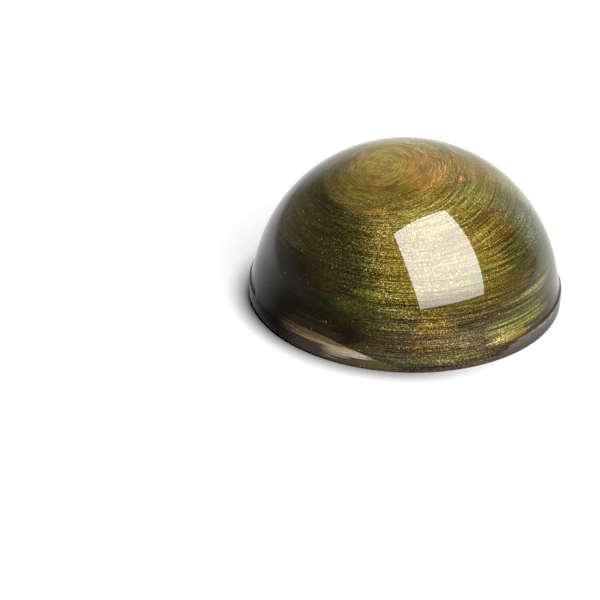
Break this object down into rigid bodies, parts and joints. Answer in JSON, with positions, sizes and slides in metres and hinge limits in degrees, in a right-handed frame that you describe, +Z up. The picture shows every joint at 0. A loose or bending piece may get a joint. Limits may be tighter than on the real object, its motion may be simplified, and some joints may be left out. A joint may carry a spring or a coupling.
{
  "type": "chocolate praline",
  "caption": "Moulded half-ball praline: a glossy dome painted in olive, green, gold and copper strokes, standing on a plain dark chocolate foot.",
  "frame": {"origin": "middle of the flat underside, on the surface that the praline stands on", "axes": "+Z up along the dome's axis, through its crown; -Y towards the side that shows in the usual view, +X to that view's right"},
  "size_m": [0.0305, 0.0305, 0.0154],
  "materials": {
    "painted_chocolate": "mirror-smooth coloured cocoa butter in fine concentric olive, green, gold and copper strokes with mica sparkle",
    "dark_chocolate": "bare dark chocolate with a satin, slightly lilac-grey sheen; the underside is scraped flat"
  },
  "bodies": {
    "root": {"painted_dome": "painted_chocolate", "chocolate_base": "dark_chocolate"}
  },
  "joints": []
}
